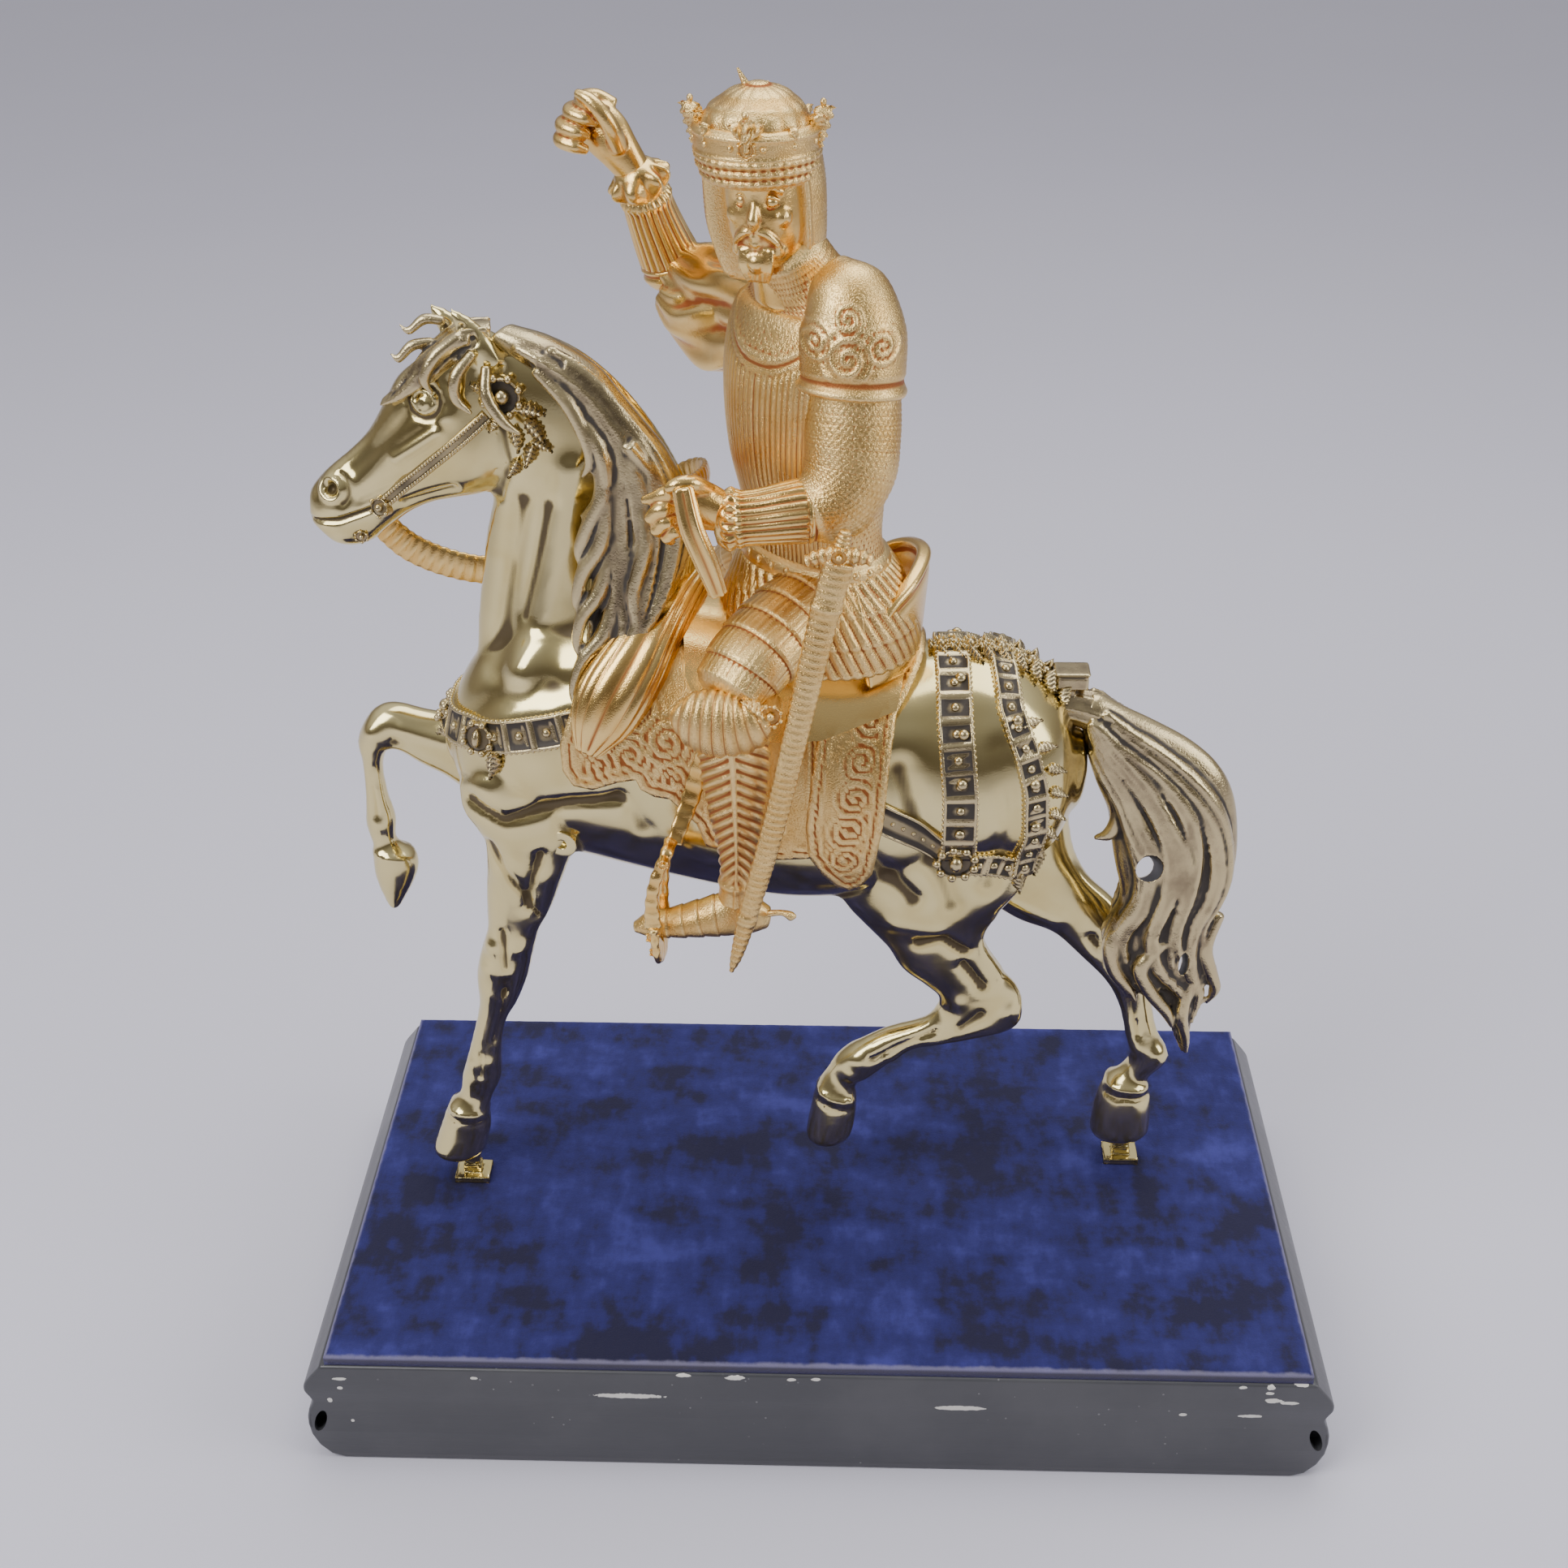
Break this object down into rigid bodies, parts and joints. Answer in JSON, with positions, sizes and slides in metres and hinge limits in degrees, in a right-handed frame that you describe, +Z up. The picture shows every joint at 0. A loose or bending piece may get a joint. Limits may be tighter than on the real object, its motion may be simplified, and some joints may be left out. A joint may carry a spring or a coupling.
{
  "type": "equestrian knight statuette on a plinth",
  "caption": "Gilt and polished brass statuette of a crowned knight riding a walking horse, one arm raised, fixed on a velvet-topped black wooden plinth.",
  "frame": {"origin": "middle of the plinth's underside", "axes": "+Z up, the horse faces -X, +Y points to the rider's right-hand side, away from the viewer"},
  "size_m": [0.357, 0.198, 0.4582],
  "materials": {
    "ebonised_wood": "black satin lacquer, chipped to white along the front edge",
    "velvet": "worn navy velvet pile",
    "polished_brass": "polished brass with a dark olive patina in the hollows",
    "gilding": "satin mercury gilding with orange-red recesses"
  },
  "bodies": {
    "root": {"plinth": "ebonised_wood", "velvet_pad": "velvet", "horse": "polished_brass", "tail": "polished_brass", "saddle": "gilding", "rider": "gilding", "sword": "gilding", "rein": "gilding", "rein_end": "gilding", "stirrup_near": "gilding", "stirrup_far": "gilding"}
  },
  "joints": []
}
